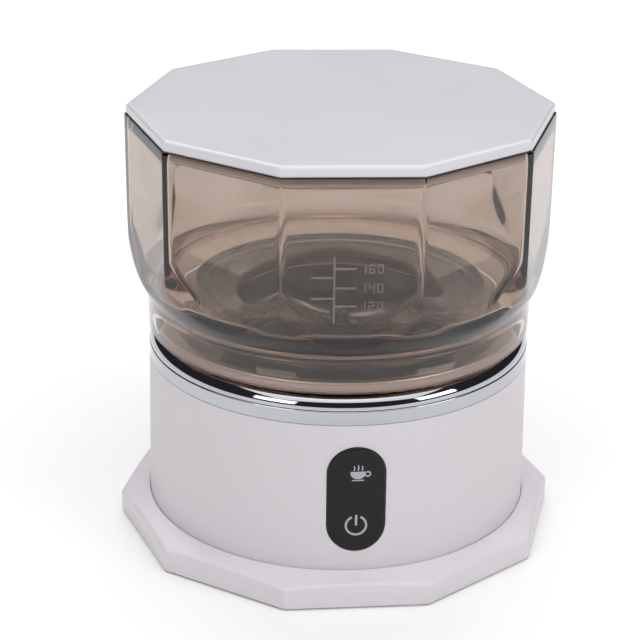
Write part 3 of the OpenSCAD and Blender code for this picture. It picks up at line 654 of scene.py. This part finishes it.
# wound, drawn or pressed in layers: straight bands side by side
def banded(name, low, high, rough, bandMm, depthMm, metallic=0.0, ior=1.5, direction="Z"):
    material, tree, surface, place = startMaterial(name, {"Metallic": metallic, "IOR": ior})
    waves = addNode(tree, "ShaderNodeTexWave", {
        "bands_direction": direction, "Scale": perMetre(bandMm) / radiansPerBand, "Distortion": 1.5,
        "Detail": 1.0, "Detail Scale": 2.0}, {"Vector": place})
    bump = addNode(tree, "ShaderNodeBump", {
        "Strength": 1.0, "Distance": depthMm * mm}, {"Height": waves.outputs[1]})
    tree.links.new(colourBetween(tree, waves.outputs[1], low, high), surface.inputs["Base Color"])
    dull = spread(tree, waves.outputs[1], rough * 0.85, rough * 1.15, 0, 1)
    tree.links.new(dull, surface.inputs["Roughness"])
    tree.links.new(bump.outputs[0], surface.inputs["Normal"])
    return material


# crystals, spangle or grains: small cells with their own tone
def cellular(name, low, high, rough, cellMm, depthMm, metallic=0.0, ior=1.5):
    material, tree, surface, place = startMaterial(name, {"Metallic": metallic, "IOR": ior})
    cells = addNode(tree, "ShaderNodeTexVoronoi", {"Scale": perMetre(cellMm)}, {"Vector": place})
    bump = addNode(tree, "ShaderNodeBump", {
        "Strength": 1.0, "Distance": depthMm * mm}, {"Height": cells.outputs[0]})
    tree.links.new(colourBetween(tree, cells.outputs[0], low, high), surface.inputs["Base Color"])
    dull = spread(tree, cells.outputs[0], rough * 0.8, rough * 1.2, 0, 0.8)
    tree.links.new(dull, surface.inputs["Roughness"])
    tree.links.new(bump.outputs[0], surface.inputs["Normal"])
    return material


finishes = {
    # ABS, moulded in a polished tool: even white with a soft mirror of the lamps
    "white_gloss": moulded("polishedAbs", "#D3D1D6", "#D7D5DA", 0.22, 1.53, 0.9, 0.002, flowMm=30),
    # ABS, moulded in a fine satin tool: the lamps spread into broad soft patches
    "white_satin": moulded("satinAbs", "#D0CBCF", "#D4CFD3", 0.45, 1.53, 0.35, 0.006, flowMm=30),
    # ABS, moulded glossier than the body above it: a soft sheen along each edge
    "white_foot": moulded("glossyAbs", "#D6D1D5", "#DAD5D9", 0.36, 1.53, 0.6, 0.003, flowMm=30),
    # silicone, moulded: waxy and a little clear at its edges
    "silicone": moulded("mouldedSilicone", "#B6B0AC", "#BDB7B3", 0.5, 1.41, 0.4, 0.01,
                        **{"Subsurface Weight": 0.2, "Subsurface Radius": (0.002, 0.0015, 0.001)}),
    # SAN with a smoky brown dye, moulded clear: brown by its depth, so its edges go dark
    "smoky_clear": clearMoulding("smokySan", "#EAE5E2", "#B6936A", 200, 0.02, 1.55),
    # the same SAN, left frosted by the tool: the marks only just stand out
    "scale_marks": moulded("frostedSan", "#AAA096", "#B2A89E", 0.45, 1.55, 0.3, 0.01,
                           **{"Transmission Weight": 0.75}),
    # 304 steel, deep drawn and polished: draw lines round the axis, wider apart than real so that they
    #                                     show; its tone is set far darker than the dish's same steel,
    #                                     painted shade for the dark inside the cup
    "bowl_steel": turned("drawnSteelPaintedShade", "#8A8785", "#9A9794", 0.18, 2.2, 0.0003),
    # 304 steel, spun over a former and satin finished: a broad pale sheen
    "dish_steel": turned("spunSteel", "#CFCBC6", "#DAD6D1", 0.42, 2.2, 0.0004),
    # PA66 filled with glass, moulded: near black, dull, with a slight fibre mottle
    "dark_plastic": moulded("glassFilledNylon", "#2A2827", "#35322F", 0.45, 1.53, 0.5, 0.01, flowMm=6),
    # steel, cold headed and zinc plated: pale, with turning marks
    "fastener_steel": turned("platedFastener", "#B4B4B7", "#C2C2C6", 0.28, 0.4, 0.003),
    # steel sheet, hot galvanised: a spangle of grey cells
    "zinc_steel": cellular("galvanisedSheet", "#9EA1A5", "#B4B7BA", 0.34, 1.8, 0.004, metallic=1.0),
    # stainless wire, drawn: bright, with die lines
    "coil_steel": banded("drawnWire", "#B4B4B6", "#C8C8CA", 0.18, 0.3, 0.001, metallic=1.0, direction="X"),
    # steel tube, tinted by heat: straw to brown in cloudy patches
    "element_steel": cellular("heatTintedSteel", "#7A6A58", "#94897C", 0.4, 2.5, 0.004, metallic=1.0),
    # sintered magnet, nickel plated: smooth, with a faint orange peel
    "magnet": moulded("nickelPlate", "#A9ABAE", "#B8BABD", 0.16, 1.5, 0.8, 0.002, Metallic=1.0),
    # ABS plated with copper, nickel and chromium: a cool mirror that shows the dark room and the lamps
    "chrome_plate": moulded("chromePlate", "#B4B6BB", "#B9BBC0", 0.045, 1.5, 3.0, 0.0012, flowMm=12,
                            Metallic=1.0),
    # rubber, moulded: dull black
    "foot_rubber": moulded("mouldedRubber", "#1E1E1F", "#262627", 0.7, 1.52, 0.3, 0.02),
    # acrylic, printed black on its back and given a low-glare coat: deep and even
    "panel_black": moulded("printedAcrylic", "#131316", "#161619", 0.14, 1.34, 2.0, 0.0008, flowMm=20),
    # ink, screen printed: flat pale grey
    "icon_grey": moulded("printedInk", "#A6A6AA", "#AEAEB2", 0.5, 1.5, 0.2, 0.004),
    # glass-epoxy board under a solder mask: green with the weave just showing
    "circuit_board": cellular("solderMask", "#14503A", "#1C6648", 0.35, 1.6, 0.03),
    # aluminium, faced on a lathe: bright rings
    "heater_aluminium": turned("turnedAluminium", "#BDBEC0", "#CCCDCF", 0.3, 0.35, 0.004),
    # mica flakes, pressed in layers: tan bands
    "mica": banded("pressedMica", "#B8A98A", "#CDBF9F", 0.5, 0.25, 0.01),
    # brass, turned: warm with fine rings
    "brass_tip": turned("turnedBrass", "#B8954E", "#C8A661", 0.25, 0.3, 0.003),
    # ceramic tube, glazed: warm white and glassy
    "ceramic_white": moulded("glazedCeramic", "#D9D4C8", "#E2DDD2", 0.2, 1.55, 1.2, 0.004),
    # enamelled copper wire, wound: red-brown turns side by side
    "copper": banded("woundCopper", "#8A4A24", "#C0703C", 0.32, 0.4, 0.05, metallic=1.0),
    # bronze powder, sintered: a porous brown grain
    "bronze": cellular("sinteredBronze", "#7E5F35", "#9A7847", 0.45, 0.4, 0.01, metallic=1.0),
    # PVC sleeve, shrunk on: dark blue with a stretched sheen
    "capacitor_sleeve": moulded("shrunkSleeve", "#1B2440", "#232E50", 0.25, 1.5, 1.0, 0.006),
    # polyester tape, wound: yellow, with the edge of each turn
    "transformer_tape": banded("woundTape", "#B99A2E", "#CDB045", 0.35, 1.2, 0.02),
    # PBT, moulded: black with a slight gloss
    "inlet_black": moulded("glossyPbt", "#161617", "#1B1B1C", 0.3, 1.6, 0.5, 0.004),
    # brass pins, nickel plated: pale and warm
    "pin_nickel": turned("nickelledBrass", "#C3C1BB", "#D2D0CB", 0.2, 0.4, 0.002),
    # PVC wire sleeve, extruded: dark red and even
    "wire_sleeve": moulded("extrudedPvc", "#5A241C", "#6B2C22", 0.42, 1.53, 0.5, 0.006),
    # glass yarn, braided over the wire: off-white and rough
    "wire_glass": banded("braidedGlass", "#C9C4B8", "#DBD7CC", 0.7, 0.5, 0.05, direction="DIAGONAL"),
}

slotOfNode = {s["node"]: s["material_slot"] for s in frame["record"]["subparts"]}
for name, node in nodes.items():
    node.data.materials.clear()
    node.data.materials.append(finishes[slotOfNode[name]])
for piece in bpy.data.objects:
    if piece.get("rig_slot") in finishes:
        piece.data.materials.clear()
        piece.data.materials.append(finishes[piece["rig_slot"]])
print("materials made:", len(finishes))


stageShape = {"radii": (0.3, 0.6, 0.9, 1.2, 1.5), "parts": 96}  # metres


def makeFloor():
    radii, count = stageShape["radii"], stageShape["parts"]
    turns = [2 * math.pi * j / count for j in range(count)]
    points = [(0, 0, 0)] + [(r * math.cos(t), r * math.sin(t), 0) for r in radii for t in turns]
    faces = [(0, 1 + j, 1 + (j + 1) % count) for j in range(count)]
    for k in range(len(radii) - 1):
        low, high = 1 + k * count, 1 + (k + 1) * count
        faces += [(low + j, high + j, high + (j + 1) % count, low + (j + 1) % count) for j in range(count)]
    mesh = bpy.data.meshes.new("paleFloor")
    mesh.from_pydata(points, [], faces)
    floor = bpy.data.objects.new("paleFloor", mesh)
    bpy.context.scene.collection.objects.link(floor)
    # board with a matt emulsion, rolled on: no glare under the lamps
    board = moulded("paintedBoard", "#F8F8F8", "#FAFAFA", 0.8, 1.45, 2.0, 0.002, flowMm=400)
    floor.data.materials.append(board)


makeFloor()

world = bpy.data.worlds.new("studioRoom")
bpy.context.scene.world = world
world.use_nodes = True
roomTree = world.node_tree
roomTree.nodes.clear()
direction = addNode(roomTree, "ShaderNodeTexCoord")
heights = addNode(roomTree, "ShaderNodeSeparateXYZ", links={0: direction.outputs["Generated"]})
roomShade = addNode(roomTree, "ShaderNodeValToRGB", links={0: heights.outputs[2]})
roomShade.color_ramp.elements[0].position = 0.7
roomShade.color_ramp.elements[0].color = toLinear("#303033")
roomShade.color_ramp.elements[1].position = 0.9
roomShade.color_ramp.elements[1].color = toLinear("#E8E8EC")
room = addNode(roomTree, "ShaderNodeBackground", {"Strength": 0.95}, {"Color": roomShade.outputs[0]})
# the eye sees a pale wall, also through the cup, while the lamps and the mirrors keep the dark room
paleWall = addNode(roomTree, "ShaderNodeBackground", {"Color": toLinear("#F4F4F5"), "Strength": 1.0})
roomRays = addNode(roomTree, "ShaderNodeLightPath")
seen = addNode(roomTree, "ShaderNodeMath", {"operation": "MAXIMUM"}, {
    0: roomRays.outputs["Is Camera Ray"], 1: roomRays.outputs["Is Transmission Ray"]})
wall = addNode(roomTree, "ShaderNodeMixShader", links={
    0: seen.outputs[0], 1: room.outputs[0], 2: paleWall.outputs[0]})
addNode(roomTree, "ShaderNodeOutputWorld", links={"Surface": wall.outputs[0]})

# soft boxes round the object: degrees, metres and watts
lamps = {
    "overheadBox": {"azimuth": 0, "elevation": 74, "distance": 1.4, "size": (2.6, 2.2), "power": 23},
    "leftBox": {"azimuth": -42, "elevation": 17, "distance": 1.3, "size": (0.55, 0.4), "power": 2.7},
    "rightBox": {"azimuth": 54, "elevation": 17, "distance": 1.3, "size": (0.55, 0.4), "power": 3.6},
    "backBox": {"azimuth": 178, "elevation": 44, "distance": 1.6, "size": (1.6, 0.8), "power": 9.5},
}
aim = Vector((0, 0, 0.05))
for name, lamp in lamps.items():
    light = bpy.data.lights.new(name, "AREA")
    light.shape = "RECTANGLE"
    light.size, light.size_y = lamp["size"]
    light.energy = lamp["power"]
    a, e = math.radians(lamp["azimuth"]), math.radians(lamp["elevation"])
    back = Vector((math.sin(a) * math.cos(e), -math.cos(a) * math.cos(e), math.sin(e)))
    box = bpy.data.objects.new(name, light)
    box.location = aim + back * lamp["distance"]
    box.rotation_mode = "QUATERNION"
    box.rotation_quaternion = (-back).to_track_quat("-Z", "Y")
    bpy.context.scene.collection.objects.link(box)

# the camera's place and tilt, in degrees and millimetres
view = {"azimuth": -5.32, "elevation": 22.9, "roll": 0.681, "distance": 438.95, "side": -4.13,
        "height": 46.871, "lens": 108.911}
camera = bpy.data.cameras.new("camera")
camera.sensor_width, camera.lens = 36, view["lens"]
camera.clip_start, camera.clip_end = 0.02, 20
viewer = bpy.data.objects.new("camera", camera)
a, e, r = (math.radians(view[k]) for k in ("azimuth", "elevation", "roll"))
back = Vector((math.sin(a) * math.cos(e), -math.cos(a) * math.cos(e), math.sin(e)))
right = Vector((math.cos(a), math.sin(a), 0))
up = back.cross(right)
tiltedRight = right * math.cos(r) + up * math.sin(r)
tiltedUp = up * math.cos(r) - right * math.sin(r)
spot = (right * view["side"] + Vector((0, 0, view["height"])) + back * view["distance"]) * mm
viewer.matrix_world = Matrix.Translation(spot) @ Matrix((tiltedRight, tiltedUp, back)).transposed().to_4x4()
bpy.context.scene.collection.objects.link(viewer)
bpy.context.scene.camera = viewer
bpy.context.scene.view_settings.view_transform = "Standard"
print("stage, lamps and camera made")
